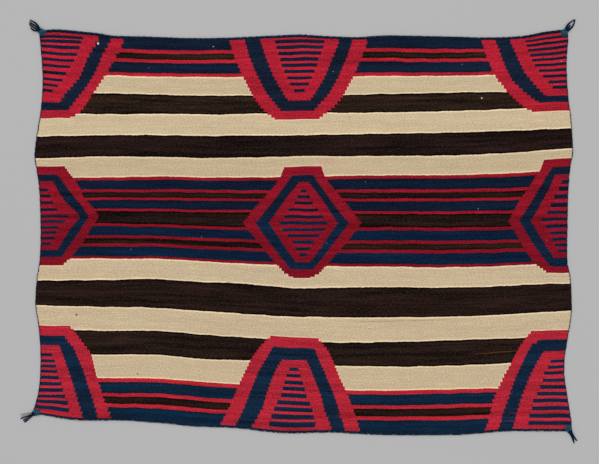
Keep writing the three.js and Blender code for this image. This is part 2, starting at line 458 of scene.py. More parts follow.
SLOW_SHARE = 2.4  # of the broad streaks, which show most in the wool that is least even
LEAST_SHADE = 0.2
BLOOM = 0.016  # light that loose fibres scatter over the dye, at its most
WOOL_SHEEN = 0.06
wool, wool_in, wool_out = new_group(
    "Wool",
    "ShaderNodeTree",
    [
        ("Place", "NodeSocketVector", None),
        ("Dye", "NodeSocketColor", None),
        ("Unevenness", "NodeSocketFloat", 0.1),
    ],
    [("Colour", "NodeSocketColor"), ("Roughness", "NodeSocketFloat"), ("Fuzz", "NodeSocketFloat")],
)
streak = uneven(wool, wool_in["Place"], (6.0, 130.0, 40.0), 2.0, -0.5, 0.5)
band = uneven(wool, wool_in["Place"], (2.2, 44.0, 9.0), 1.0, -0.55, 0.55)
grain = uneven(wool, wool_in["Place"], (190.0, 290.0, 190.0), 2.0, -1.5, 1.5)
thread = uneven(wool, wool_in["Place"], (16.0, 330.0, 60.0), 1.0, -1.5, 1.1)
slow = calculate(wool, "MULTIPLY", calculate(wool, "ADD", streak, band), wool_in["Unevenness"])
quick = calculate(wool, "ADD", grain, calculate(wool, "MAXIMUM", thread, 0.0))
together = calculate(wool, "MULTIPLY_ADD", slow, SLOW_SHARE, quick)
brightness = calculate(wool, "MULTIPLY_ADD", together, wool_in["Unevenness"], 1.0)
shade = calculate(wool, "MAXIMUM", brightness, LEAST_SHADE)
shaded = add_node(wool, "ShaderNodeVectorMath", {0: wool_in["Dye"], "Scale": shade}, operation="SCALE")
loose_fibres = uneven(wool, wool_in["Place"], (120.0, 210.0, 120.0), 2.0, -1.0, 1.0)
bloom_patch = calculate(wool, "MAXIMUM", loose_fibres, 0.0)
bloom = calculate(wool, "MULTIPLY", calculate(wool, "MULTIPLY", bloom_patch, wool_in["Unevenness"]), BLOOM)
wool.links.new(combine(wool, "ADD", shaded.outputs[0], bloom), wool_out["Colour"])
wool.links.new(uneven(wool, wool_in["Place"], (60.0, 60.0, 60.0), 1.0, 0.86, 0.98), wool_out["Roughness"])
wool.links.new(uneven(wool, wool_in["Place"], (900.0, 1500.0, 900.0), 1.0, 0.0, 1.0), wool_out["Fuzz"])


def group_node(tree, group, inputs):
    return add_node(tree, tree.bl_idname.replace("Tree", "Group"), inputs, node_tree=group).outputs


# Weave: the wefts hide the warps, so each warp shows as a rib, and the wefts that pass over
# it lie on it like beads, half a bead lower on every second rib.
RIB_PITCH = 0.0034
RIB_STRAY = 0.0022  # how far a warp wanders aside
WEFT_PITCH = 0.0011
BEAD_RISE = 0.4  # of the weave's relief, which the beads add to the ribs


def ridges(tree, count):
    """Round ridges side by side, one for each whole number that the count passes."""
    half_turns = calculate(tree, "MULTIPLY", count, math.pi)
    return calculate(tree, "ABSOLUTE", calculate(tree, "SINE", half_turns))


weave, weave_in, weave_out = new_group(
    "Weft-faced weave",
    "ShaderNodeTree",
    [("Loom", "NodeSocketVector", None), ("Rib pitch", "NodeSocketFloat", RIB_PITCH)],
    [("Height", "NodeSocketFloat")],
)
loom_axes = add_node(weave, "ShaderNodeSeparateXYZ", {0: weave_in["Loom"]}).outputs
stray = uneven(weave, weave_in["Loom"], (45.0, 28.0, 1.0), 2.0, -RIB_STRAY, RIB_STRAY)
ribs = calculate(weave, "DIVIDE", calculate(weave, "ADD", loom_axes["X"], stray), weave_in["Rib pitch"])
second = calculate(weave, "MULTIPLY", calculate(weave, "MODULO", calculate(weave, "FLOOR", ribs), 2.0), 0.5)
beads = calculate(weave, "ADD", calculate(weave, "DIVIDE", loom_axes["Y"], WEFT_PITCH), second)
beaded = calculate(weave, "MULTIPLY_ADD", ridges(weave, beads), BEAD_RISE, 1 - BEAD_RISE)
weave.links.new(calculate(weave, "MULTIPLY", ridges(weave, ribs), beaded), weave_out["Height"])

# Figures: nine stepped diamonds, woven in with the stripes: one whole at the centre, four
# halves at the middles of the sides and four quarters at the corners. Each is an outer red
# field, an indigo band, an inner red field and short indigo bars, one inside the other.
# Millimetres: centre is where the middle line lies across, drift is how far it has moved at the
# foot, and inside is how far the inner field and the bars lie to its right. Steps and bars have
# a first and a last height. Each outline is a row of depths and half widths, and so are the bars.
OUTLINES = ("field", "band", "inner")
EDGE_BAND = 5  # of plain indigo between a figure and the top or bottom edge
WIDTH_MM, FOOT_MM = WEB_WIDTH * 1000, WEB_DEPTH * 1000 - EDGE_BAND
FIGURES = {
    "top left": {
        "centre": 0, "drift": 0, "inside": 0, "steps": (17.5, 10.5), "bar heights": (9, 11),
        "field": [(EDGE_BAND, 293), (35, 277), (89, 243), (127, 218), (186, 182), (205, 167), (235, 149),
                  (254, 133), (272, 103)],
        "band": [(EDGE_BAND, 249), (45, 223), (73, 207), (120, 182), (178, 146), (247, 91)],
        "inner": [(EDGE_BAND, 208), (75, 157), (138, 126), (194, 81), (225, 59)],
        "bars": [(15, 148), (27, 141), (43, 133), (63, 123), (83, 111), (103, 96), (124, 80), (148, 67),
                 (170, 50), (191, 33)],
    },
    "top middle": {
        "centre": 897, "drift": -9, "inside": 4, "steps": (16.5, 10.5), "bar heights": (12, 10.5),
        "field": [(EDGE_BAND, 241), (62, 223), (128, 194), (193, 161), (239, 125), (262, 96), (280, 76)],
        "band": [(EDGE_BAND, 188), (62, 172), (128, 143), (190, 109), (250, 56)],
        "inner": [(EDGE_BAND, 139), (62, 119), (128, 90), (177, 62), (213, 38)],
        "bars": [(16, 86), (34, 82), (53, 75), (73, 67), (92, 62), (112, 53), (133, 43), (155, 33),
                 (177, 19)],
    },
    "top right": {
        "centre": WIDTH_MM, "drift": 0, "inside": 0, "steps": (17, 10.5), "bar heights": (9, 11),
        "field": [(EDGE_BAND, 299), (51, 285), (84, 270), (116, 255), (146, 243), (165, 226), (192, 210),
                  (230, 176), (253, 153), (272, 126)],
        "band": [(EDGE_BAND, 252), (84, 220), (155, 188), (193, 150), (238, 100)],
        "inner": [(EDGE_BAND, 201), (58, 178), (132, 140), (170, 109), (212, 74)],
        "bars": [(16, 146), (32, 142), (49, 136), (67, 128), (84, 119), (103, 108), (122, 94), (142, 81),
                 (163, 63), (181, 49)],
    },
    "middle left": {
        "centre": 0, "drift": 0, "inside": 0, "steps": (8.6, 8.7), "bar heights": (11.5, 9),
        "field": [(436, 94), (475, 118), (516, 139), (544, 147), (585, 183), (617, 202), (665, 168),
                  (701, 148), (759, 103), (781, 80)],
        "band": [(466, 66), (520, 100), (560, 128), (575, 141), (617, 167), (665, 134), (720, 95), (754, 74)],
        "inner": [(490, 47), (530, 65), (560, 84), (600, 122), (619, 135), (663, 96), (730, 57)],
        "bars": [(519, 27), (540, 35), (565, 44), (590, 56), (614, 93), (633, 83), (653, 61), (671, 51),
                 (689, 47), (708, 34)],
    },
    "middle": {
        "centre": 911, "drift": -4, "inside": 4, "steps": (7.8, 7.9), "bar heights": (10, 10),
        "field": [(442, 64), (478, 77), (501, 93), (569, 155), (607, 188), (626, 207), (680, 160), (742, 102),
                  (770, 76), (785, 60), (799, 30)],
        "band": [(472, 36), (501, 57), (569, 111), (607, 144), (626, 163), (680, 119), (742, 67), (772, 40)],
        "inner": [(496, 16), (555, 66), (607, 104), (626, 120), (665, 88), (700, 64), (748, 25)],
        "bars": [(524, 10), (543, 22), (563, 32), (586, 51), (606, 68), (625, 84), (644, 75), (664, 55),
                 (684, 37), (704, 25), (723, 13)],
    },
    "middle right": {
        "centre": WIDTH_MM, "drift": 0, "inside": 0, "steps": (8.6, 8.7), "bar heights": (13, 9),
        "field": [(438, 93), (475, 101), (519, 133), (555, 162), (586, 183), (622, 204), (676, 166),
                  (710, 148), (750, 117), (793, 73)],
        "band": [(465, 59), (520, 94), (564, 125), (622, 167), (699, 115), (771, 56)],
        "inner": [(489, 46), (526, 62), (624, 126), (701, 73), (742, 43)],
        "bars": [(510, 23), (530, 31), (552, 46), (575, 57), (597, 69), (621, 89), (644, 75), (665, 57),
                 (685, 48), (703, 42), (720, 31)],
    },
    "bottom left": {
        "centre": 0, "drift": 0, "inside": 0, "steps": (10.5, 17.5), "bar heights": (11, 15),
        "field": [(996, 104), (1015, 121), (1040, 138), (1060, 153), (1087, 175), (1175, 196), (1224, 216),
                  (1280, 243), (FOOT_MM, 264)],
        "band": [(1029, 84), (1050, 97), (1065, 112), (1147, 147), (1195, 164), (1245, 188), (FOOT_MM, 219)],
        "inner": [(1061, 64), (1080, 70), (1137, 90), (1200, 113), (1267, 143), (FOOT_MM, 167)],
        "bars": [(1093, 38), (1115, 47), (1134, 52), (1154, 57), (1176, 63), (1198, 74), (1220, 81),
                 (1242, 93), (1265, 107), (1290, 115)],
    },
    "bottom middle": {
        "centre": 884, "drift": -11, "inside": 5, "steps": (10, 17.5), "bar heights": (12, 16.5),
        "field": [(997, 80), (1039, 119), (1089, 148), (1176, 187), (1230, 208), (FOOT_MM, 238)],
        "band": [(1034, 73), (1080, 95), (1115, 114), (1192, 145), (1250, 165), (FOOT_MM, 187)],
        "inner": [(1076, 42), (1105, 58), (1156, 79), (1201, 95), (1245, 106), (FOOT_MM, 137)],
        "bars": [(1108, 16), (1132, 25), (1156, 33), (1177, 39), (1200, 45), (1224, 57), (1247, 66),
                 (1271, 74), (1295, 79)],
    },
    "bottom right": {
        "centre": WIDTH_MM, "drift": 0, "inside": 0, "steps": (10, 17.5), "bar heights": (10, 15),
        "field": [(988, 126), (1007, 140), (1040, 162), (1090, 183), (1166, 228), (1216, 258), (1275, 278),
                  (FOOT_MM, 294)],
        "band": [(1018, 92), (1036, 121), (1089, 143), (1168, 182), (1257, 228), (FOOT_MM, 248)],
        "inner": [(1057, 74), (1085, 87), (1169, 135), (1219, 163), (1265, 183), (FOOT_MM, 199)],
        "bars": [(1091, 46), (1110, 55), (1129, 68), (1152, 75), (1175, 88), (1196, 102), (1218, 119),
                 (1243, 127), (1269, 139), (1293, 145)],
    },
}  # fmt: skip

# Place in a figure: how far down it a spot is, exactly and at the middle of its step, and how
# far the spot lies to the side of the outer outlines' and of the bars' middle lines. Each step
# is taller or lower than the one before by the same share, so the count of steps is a logarithm
# of the depth. The turns of the yarns make every outline a little ragged.
TURN_STRAY = 0.0012
place_group, place_in, place_out = new_group(
    "Place in a figure",
    "ShaderNodeTree",
    [
        ("Loom", "NodeSocketVector", None),
        ("Start", "NodeSocketFloat", 0.0),
        ("Span", "NodeSocketFloat", 1.0),
        ("First step", "NodeSocketFloat", 0.01),
        ("Step growth", "NodeSocketFloat", 0.01),
        ("Centre", "NodeSocketFloat", 0.0),
        ("Drift", "NodeSocketFloat", 0.0),
        ("Inside", "NodeSocketFloat", 0.0),
    ],
    [
        ("Share", "NodeSocketFloat"),
        ("Stepped share", "NodeSocketFloat"),
        ("Depth", "NodeSocketFloat"),
        ("Aside", "NodeSocketVector"),
        ("Beside bars", "NodeSocketFloat"),
    ],
)
figure_axes = add_node(place_group, "ShaderNodeSeparateXYZ", {0: place_in["Loom"]}).outputs
below_start = calculate(place_group, "SUBTRACT", figure_axes["Y"], place_in["Start"])
grown = calculate(place_group, "DIVIDE", place_in["Step growth"], place_in["First step"])
stretched = calculate(place_group, "MULTIPLY_ADD", below_start, grown, 1.0)
log_stretched = calculate(place_group, "LOGARITHM", stretched, math.e)
steps_down = calculate(place_group, "DIVIDE", log_stretched, place_in["Step growth"])
mid_step = calculate(place_group, "ADD", calculate(place_group, "FLOOR", steps_down), 0.5)
log_unstretched = calculate(place_group, "MULTIPLY", mid_step, place_in["Step growth"])
unstretched = calculate(place_group, "EXPONENT", log_unstretched)
snapped = calculate(place_group, "DIVIDE", calculate(place_group, "SUBTRACT", unstretched, 1.0), grown)
share_down = calculate(place_group, "DIVIDE", below_start, place_in["Span"])
middle_line = calculate(place_group, "MULTIPLY_ADD", share_down, place_in["Drift"], place_in["Centre"])
turn_stray = uneven(place_group, place_in["Loom"], (6.0, 900.0, 1.0), 0.0, -TURN_STRAY, TURN_STRAY)
from_middle = calculate(place_group, "SUBTRACT", figure_axes["X"], middle_line)
from_bars = calculate(place_group, "SUBTRACT", from_middle, place_in["Inside"])


def ragged_aside(offset):
    """How far a spot lies to either side of a middle line, with the yarns' stray turns."""
    strayed = calculate(place_group, "ADD", calculate(place_group, "ABSOLUTE", offset), turn_stray)
    return calculate(place_group, "MAXIMUM", strayed, 0.0)


outer_aside, inner_aside = ragged_aside(from_middle), ragged_aside(from_bars)
asides = {"X": outer_aside, "Y": outer_aside, "Z": inner_aside}
place_group.links.new(add_node(place_group, "ShaderNodeCombineXYZ", asides).outputs[0], place_out["Aside"])
place_group.links.new(inner_aside, place_out["Beside bars"])
place_group.links.new(share_down, place_out["Share"])
place_group.links.new(calculate(place_group, "DIVIDE", snapped, place_in["Span"]), place_out["Stepped share"])
place_group.links.new(figure_axes["Y"], place_out["Depth"])

# Inside the outlines: how far a spot lies within each of the three nested outlines, where
# every outline also has its own flat head and foot.
nest_group, nest_in, nest_out = new_group(
    "Inside the outlines",
    "ShaderNodeTree",
    [
        ("Half widths", "NodeSocketVector", None),
        ("Heads", "NodeSocketVector", (0.0, 0.0, 0.0)),
        ("Feet", "NodeSocketVector", (0.0, 0.0, 0.0)),
        ("Depth", "NodeSocketFloat", 0.0),
        ("Aside", "NodeSocketVector", None),
    ],
    [("Margins", "NodeSocketVector")],
)
sideways = combine(nest_group, "SUBTRACT", nest_in["Half widths"], nest_in["Aside"])
under_head = combine(nest_group, "SUBTRACT", nest_in["Depth"], nest_in["Heads"])
over_foot = combine(nest_group, "SUBTRACT", nest_in["Feet"], nest_in["Depth"])
lengthways = combine(nest_group, "MINIMUM", under_head, over_foot)
nest_group.links.new(combine(nest_group, "MINIMUM", sideways, lengthways), nest_out["Margins"])

MOST_STOPS = 32  # that one ramp holds
FOOT_MARGIN = 0.0001  # so that a foot's own line still lies within it


def set_ramp(tree, share, stops, interpolation):
    """A ramp through stops of place and colour."""
    ramp = add_node(tree, "ShaderNodeValToRGB", {"Fac": share})
    ramp.color_ramp.interpolation = interpolation
    elements = ramp.color_ramp.elements
    if len(stops) > MOST_STOPS:
        raise ValueError(f"{len(stops)} stops are more than a ramp holds")
    while len(elements) < len(stops):
        elements.new(0.5)
    for element, (place, colour) in zip(elements, stops):
        element.position = place
        element.color = colour
    return ramp.outputs["Color"]


def outline_stops(figure, start, span):
    """Stops whose three channels are the half widths of the three outlines."""
    places = sorted({depth for name in OUTLINES for depth, _ in figure[name]})
    stops = []
    for depth in places:
        widths = [np.interp(depth, *zip(*figure[name])) / 1000 for name in OUTLINES]
        stops.append(((depth / 1000 - start) / span, (*widths, 1.0)))
    return stops


def bar_stops(figure, start, span):
    """Stops of a bar's half width, and beside it the half width of the bars' whole block."""
    stops = [(0.0, (0.0, 0.0, 0.0, 1.0))]  # no bar at the head
    heights = np.linspace(*figure["bar heights"], len(figure["bars"]))
    for (depth, width), height in zip(figure["bars"], heights):
        reach = width / 1000
        for edge, half_width in ((depth - height / 2, reach), (depth + height / 2, 0.0)):
            stops.append(((edge / 1000 - start) / span, (half_width, reach, 0.0, 1.0)))
    stops[-1] = (stops[-1][0], (0.0, 0.0, 0.0, 1.0))
    return stops


def draw_figures(tree, loom):
    """Margins inside the nearest figure's three outlines, then inside its bars and their block."""
    margins, bars = (-1.0, -1.0, -1.0), (-1.0, -1.0, -1.0)
    for figure in FIGURES.values():
        start, end = figure["field"][0][0] / 1000, figure["field"][-1][0] / 1000
        span = end - start
        first_step, last_step = (step / 1000 for step in figure["steps"])
        place = group_node(
            tree,
            place_group,
            {
                "Loom": loom,
                "Start": start,
                "Span": span,
                "First step": first_step,
                "Step growth": (last_step - first_step) / span,
                "Centre": figure["centre"] / 1000,
                "Drift": figure["drift"] / 1000,
                "Inside": figure["inside"] / 1000,
            },
        )
        half_widths = set_ramp(tree, place["Stepped share"], outline_stops(figure, start, span), "LINEAR")
        bar_widths = set_ramp(tree, place["Share"], bar_stops(figure, start, span), "CONSTANT")
        nest = group_node(
            tree,
            nest_group,
            {
                "Half widths": half_widths,
                "Heads": [figure[name][0][0] / 1000 for name in OUTLINES],
                "Feet": [figure[name][-1][0] / 1000 + FOOT_MARGIN for name in OUTLINES],
                "Depth": place["Depth"],
                "Aside": place["Aside"],
            },
        )
        margins = combine(tree, "MAXIMUM", nest["Margins"], margins)
        bars = combine(tree, "MAXIMUM", combine(tree, "SUBTRACT", bar_widths, place["Beside bars"]), bars)
    return margins, bars


def mix(tree, share, first, second):
    """A colour between two colours."""
    blend = add_node(tree, "ShaderNodeMix", {"Factor": share}, data_type="RGBA")
    for name, value in (("A_Color", first), ("B_Color", second)):
        socket = next(item for item in blend.inputs if item.identifier == name)
        if isinstance(value, bpy.types.NodeSocket):
            tree.links.new(value, socket)
        else:
            socket.default_value = value
    return next(item for item in blend.outputs if item.identifier == "Result_Color")


# Dye lots of the figures: the depth that each lot starts at, in millimetres, and its colour.
RED_LOTS = [(0, (169, 28, 46)), (335, (137, 16, 34)), (600, (124, 12, 30)), (870, (171, 34, 50))]
INDIGO_LOTS = [(0, (15, 27, 46)), (335, (11, 25, 45)), (610, (9, 30, 53)), (870, (12, 33, 55))]
RED_UNEVENNESS, INDIGO_MORE = 0.42, 0.14  # and how much more uneven the indigo is
BARRED_RED = 1.22  # how much brighter the raveled red between the bars is than the fields
# Painted shade and painted highlight at the stripes' joins and beside the figures' outlines: how far they
# reach from an outline, their strength, and the darkest that the painted shade makes a yarn.
JOIN_SHADING_REACH = 0.0042  # how far the tint of a join goes from a figure's outline
JOIN_SHADING_STRENGTH = 2.8  # of the tint where two stripes join
DARKEST_JOIN_SHADE = 0.12
FUZZ_RELIEF = 0.25  # of loose fibres, beside the weave's own

# Small faults of an old blanket: specks, dark knots, a faint stain where red has bled, stray
# threads and lots of another red. Millimetres: across, depth, half length, half height, then
# the slope of a thread, the colour, and how much of the yarn it hides.
PALE, GREY, DARK = (222, 212, 196), (150, 148, 146), (24, 20, 22)
CRIMSON, DEEP_RED = (150, 12, 34), (150, 22, 38)
FAULTS = [
    (199, 28, 3.6, 3.2, 0, PALE, 1.0),
    (1531, 215, 2.4, 2.2, 0, PALE, 0.8),
    (384, 206, 2.6, 2, 0, (96, 76, 66), 0.7),
    (599, 26, 2.2, 2, 0, PALE, 0.5),
    (371, 99, 2, 1.8, 0, (120, 122, 128), 0.6),
    (564, 142, 2.6, 2.2, 0, (226, 216, 196), 0.6),
    (1467, 89, 2, 1.8, 0, (130, 130, 134), 0.6),
    (1015, 114, 2, 1.8, 0, (140, 138, 140), 0.6),
    (1069, 273, 2.6, 2.2, 0, (128, 104, 76), 0.7),
    (1815, 96, 2, 1.8, 0, PALE, 0.5),
    (657, 828, 7, 2.4, 0, (150, 128, 104), 0.8),
    (135, 956, 4.2, 3.2, 0, DARK, 0.9),
    (338, 1159, 3, 2.6, 0, DARK, 0.9),
    (1660, 327, 6, 2, 0.1, (158, 84, 70), 0.6),
    (990, 424, 34, 16, 0, (196, 158, 140), 0.45),
    (1010, 432, 60, 10, 0, (200, 168, 146), 0.3),
    (1240, 939, 178, 1.5, -0.012, (132, 122, 108), 0.6),
    (1572, 1055, 90, 1.8, -0.03, (92, 52, 26), 0.8),
    (560, 305, 60, 1.3, -0.015, (150, 128, 96), 0.4),
    (558, 678, 2, 1.8, 0, GREY, 0.6),
    (313, 728, 2, 1.8, 0, GREY, 0.6),
    (994, 688, 2, 1.8, 0, GREY, 0.5),
    (1128, 497, 2, 1.8, 0, GREY, 0.5),
    (1762, 687, 2, 1.8, 0, GREY, 0.6),
    (1521, 581, 2, 1.8, 0, GREY, 0.6),
    (1102, 551, 2.4, 2, 0, DARK, 0.6),
    (1720, 1258, 112, 2, 0.01, CRIMSON, 0.6),
    (1720, 1287, 112, 2, 0.01, CRIMSON, 0.6),
    (1063, 1262, 28, 10, 0, DEEP_RED, 0.7),
    (974, 1271, 24, 6, 0, DEEP_RED, 0.6),
]
fault_group, fault_in, fault_out = new_group(
    "Fault",
    "ShaderNodeTree",
    [
        ("Loom", "NodeSocketVector", None),
        ("Middle", "NodeSocketVector", (0.0, 0.0, 0.0)),
        ("Reach", "NodeSocketVector", (1.0, 1.0, 1.0)),
        ("Slope", "NodeSocketFloat", 0.0),
        ("Cover", "NodeSocketFloat", 1.0),
        ("Colour", "NodeSocketColor", None),
        ("Fault", "NodeSocketColor", None),
    ],
    [("Colour", "NodeSocketColor")],
)
from_fault = combine(fault_group, "SUBTRACT", fault_in["Loom"], fault_in["Middle"])
fault_axes = add_node(fault_group, "ShaderNodeSeparateXYZ", {0: from_fault}).outputs
sloped = calculate(fault_group, "MULTIPLY", fault_axes["X"], fault_in["Slope"])
levelled = calculate(fault_group, "SUBTRACT", fault_axes["Y"], sloped)
fault_place = add_node(fault_group, "ShaderNodeCombineXYZ", {"X": fault_axes["X"], "Y": levelled}).outputs[0]
ragged = uneven(fault_group, fault_in["Loom"], (220.0, 500.0, 1.0), 1.0, 0.6, 1.3)
fault_radius = add_node(
    fault_group,
    "ShaderNodeVectorMath",
    {0: combine(fault_group, "DIVIDE", fault_place, fault_in["Reach"])},
    operation="LENGTH",
).outputs["Value"]
ragged_radius = calculate(fault_group, "MULTIPLY", fault_radius, ragged)
soft_edge = {"Value": ragged_radius, "From Min": 1.1, "From Max": 0.6}
fault_share = add_node(fault_group, "ShaderNodeMapRange", soft_edge).outputs["Result"]
fault_cover = calculate(fault_group, "MULTIPLY", fault_share, fault_in["Cover"])
faulted = mix(fault_group, fault_cover, fault_in["Colour"], fault_in["Fault"])
fault_group.links.new(faulted, fault_out["Colour"])


def add_fault(tree, loom, colour, fault):
    """Lays one fault over a colour."""
    across, down, length, height, slope, shade, cover = fault
    settings = {
        "Loom": loom,
        "Middle": (across / 1000, down / 1000, 0.0),
        "Reach": (length / 1000, height / 1000, 1.0),
        "Slope": slope,
        "Cover": cover,
        "Colour": colour,
        "Fault": linear(*shade),
    }
    return group_node(tree, fault_group, settings)["Colour"]


def lot_ramp(tree, depth_share, lots):
    """The dye lot at a depth."""
    stops = [(start / 1000 / WEB_DEPTH, linear(*dye)) for start, dye in lots]
    return set_ramp(tree, depth_share, stops, "CONSTANT")


def web_material():
    """Wool cloth: the stripes' yarns, the figures over them, faults, then wool and weave."""
    material = bpy.data.materials.new("tapestry wool")
    material.use_nodes = True
    tree = material.node_tree
    surface = tree.nodes["Principled BSDF"]
    loom = add_node(tree, "ShaderNodeUVMap", uv_map="Loom").outputs["UV"]
    stripe = add_node(tree, "ShaderNodeAttribute", attribute_name="yarn")
    depth = add_node(tree, "ShaderNodeSeparateXYZ", {0: loom}).outputs["Y"]
    depth_share = calculate(tree, "DIVIDE", depth, WEB_DEPTH)
    red = lot_ramp(tree, depth_share, RED_LOTS)
    indigo = lot_ramp(tree, depth_share, INDIGO_LOTS)
    margins, bars = draw_figures(tree, loom)
    nested = add_node(tree, "ShaderNodeSeparateXYZ", {0: margins}).outputs
    barred = add_node(tree, "ShaderNodeSeparateXYZ", {0: bars}).outputs
    in_figure = calculate(tree, "GREATER_THAN", nested["X"], 0.0)
    in_band = calculate(tree, "MINIMUM", nested["Y"], calculate(tree, "MULTIPLY", nested["Z"], -1.0))
    in_blue = calculate(tree, "GREATER_THAN", calculate(tree, "MAXIMUM", in_band, barred["X"]), 0.0)
    in_block = calculate(tree, "GREATER_THAN", barred["Y"], 0.0)
    red = mix(tree, in_block, red, combine(tree, "MULTIPLY", red, (BARRED_RED, BARRED_RED, BARRED_RED)))
    colour = mix(tree, in_figure, stripe.outputs["Color"], red)
    colour = mix(tree, in_blue, colour, indigo)
    for fault in FAULTS:
        colour = add_fault(tree, loom, colour, fault)
    figure_unevenness = calculate(tree, "MULTIPLY_ADD", in_blue, INDIGO_MORE, RED_UNEVENNESS)
    in_stripe = calculate(tree, "SUBTRACT", 1.0, in_figure)
    stripe_unevenness = calculate(tree, "MULTIPLY", in_stripe, stripe.outputs["Alpha"])
    unevenness = calculate(tree, "MULTIPLY_ADD", in_figure, figure_unevenness, stripe_unevenness)
    # Painted light and shade at the joins and beside the figures' outlines: dark yarns are painted darker
    # there, as if in shade, and cream is painted lighter, as a highlight.
    join = add_node(tree, "ShaderNodeAttribute", attribute_name="join").outputs["Fac"]
    join_shade = add_node(tree, "ShaderNodeAttribute", attribute_name="join shade and highlight").outputs["Fac"]
    from_outline = calculate(tree, "MULTIPLY_ADD", nested["X"], 1 / JOIN_SHADING_REACH, 1.0)
    near_join = calculate(tree, "MAXIMUM", calculate(tree, "MULTIPLY", join, JOIN_SHADING_STRENGTH), from_outline)
    near_join = add_node(tree, "ShaderNodeClamp", {"Value": near_join}).outputs[0]
    painted_join_shading = calculate(tree, "MULTIPLY", calculate(tree, "MULTIPLY", near_join, join_shade), in_stripe)
    join_shading_factor = calculate(tree, "MAXIMUM", calculate(tree, "ADD", painted_join_shading, 1.0), DARKEST_JOIN_SHADE)
    yarn = group_node(tree, wool, {"Place": loom, "Dye": colour, "Unevenness": unevenness})
    shaded = {0: yarn["Colour"], "Scale": join_shading_factor}
    colour = add_node(tree, "ShaderNodeVectorMath", shaded, operation="SCALE").outputs[0]
    cloth = group_node(tree, weave, {"Loom": loom})
    relief = calculate(tree, "MULTIPLY_ADD", yarn["Fuzz"], FUZZ_RELIEF, cloth["Height"])
    bump = add_node(tree, "ShaderNodeBump", {"Height": relief, "Strength": 0.7, "Distance": 0.0004})
    tree.links.new(colour, surface.inputs["Base Color"])
    tree.links.new(yarn["Roughness"], surface.inputs["Roughness"])
    tree.links.new(bump.outputs["Normal"], surface.inputs["Normal"])
    surface.inputs["Specular IOR Level"].default_value = WOOL_SHEEN
    return material


web.data.materials.append(web_material())
finish_piece(web, "web", "blanket")


# Edge cords: three indigo yarns laid up into a cord that runs along each edge of the web, where
# the warps or the wefts turn back. Both ends run into the corner tassels' heads.
def node_tree(name, sockets):
    """An empty Geometry Nodes tree that takes a path and named inputs and gives a mesh."""
    sockets = [("Path", "NodeSocketGeometry", None), *sockets]
    return new_group(name, "GeometryNodeTree", sockets, [("Mesh", "NodeSocketGeometry")])


def end_tree(tree, geometry, material, outputs):
    """Ends a tree in one real mesh with its material."""
    real = add_node(tree, "GeometryNodeRealizeInstances", {0: geometry})
    painted = add_node(tree, "GeometryNodeSetMaterial", {0: real.outputs[0], "Material": material})
    tree.links.new(painted.outputs[0], outputs["Mesh"])


def even_curve(tree, inputs):
    """The path as a curve with points at even steps."""
    curve = add_node(tree, "GeometryNodeMeshToCurve", {0: inputs["Path"]}).outputs[0]
    settings = {"Curve": curve, "Length": inputs["Step"]}
    return add_node(tree, "GeometryNodeResampleCurve", settings, mode="LENGTH").outputs[0]


PLIES = 3
PLY_SIDES = 6
cord_tree, cord_in, cord_out = node_tree(
    "laid cord",
    [
        ("Ply radius", "NodeSocketFloat", 0.001),
        ("Lay radius", "NodeSocketFloat", 0.001),
        ("Turn length", "NodeSocketFloat", 0.009),
        ("Step", "NodeSocketFloat", 0.001),
        ("Lighter ply", "NodeSocketFloat", 0.0),
        ("Material", "NodeSocketMaterial", None),
    ],
)
walked = add_node(cord_tree, "GeometryNodeSplineParameter").outputs["Length"]
turns_walked = calculate(cord_tree, "DIVIDE", walked, cord_in["Turn length"])
twist_angle = calculate(cord_tree, "MULTIPLY", turns_walked, math.tau)
twist = {"Curve": even_curve(cord_tree, cord_in), "Tilt": twist_angle}
twisted = add_node(cord_tree, "GeometryNodeSetCurveTilt", twist)
ply_size = {"Resolution": PLY_SIDES, "Radius": cord_in["Ply radius"]}
ply_ring = add_node(cord_tree, "GeometryNodeCurvePrimitiveCircle", ply_size)
profile = add_node(cord_tree, "GeometryNodeJoinGeometry")
for ply in range(PLIES):
    turn = math.tau * ply / PLIES
    aside = {0: (math.cos(turn), math.sin(turn), 0.0), "Scale": cord_in["Lay radius"]}
    offset = add_node(cord_tree, "ShaderNodeVectorMath", aside, operation="SCALE").outputs[0]
    move = {"Geometry": ply_ring.outputs[0], "Translation": offset}
    placed = add_node(cord_tree, "GeometryNodeTransform", move)
    lighter = cord_in["Lighter ply"] if ply == 0 else 0.0
    mark = {"Geometry": placed.outputs[0], "Name": "lighter", "Value": lighter}
    marked = add_node(cord_tree, "GeometryNodeStoreNamedAttribute", mark, data_type="FLOAT", domain="POINT")
    cord_tree.links.new(marked.outputs[0], profile.inputs[0])
sweep = {"Curve": twisted.outputs[0], "Profile Curve": profile.outputs[0], "Fill Caps": True}
swept = add_node(cord_tree, "GeometryNodeCurveToMesh", sweep)
end_tree(cord_tree, swept.outputs[0], cord_in["Material"], cord_out)


def run_nodes(piece, tree, settings):
    """Runs a Geometry Nodes tree on a piece and keeps the result as its plain mesh."""
    modifier = piece.modifiers.new(tree.name, "NODES")
    modifier.node_group = tree
    identifiers = {item.name: item.identifier for item in tree.interface.items_tree if item.in_out == "INPUT"}
    for name, value in settings.items():
        modifier[identifiers[name]] = value
    depsgraph = bpy.context.evaluated_depsgraph_get()
    mesh = bpy.data.meshes.new_from_object(piece.evaluated_get(depsgraph))
    piece.modifiers.clear()
    piece.data = mesh
    mesh.polygons.foreach_set("use_smooth", np.ones(len(mesh.polygons), bool))
    return piece


def path_object(name, runs):
    """A piece that starts as one or more bare runs of points, for nodes to follow."""
    points, edges = [], []
    for run in runs:
        first = len(points)
        points += [tuple(point) for point in run]
        edges += [(first + i, first + i + 1) for i in range(len(run) - 1)]
    mesh = bpy.data.meshes.new(name)
    mesh.from_pydata(points, edges, [])
    return add_object(name, mesh)


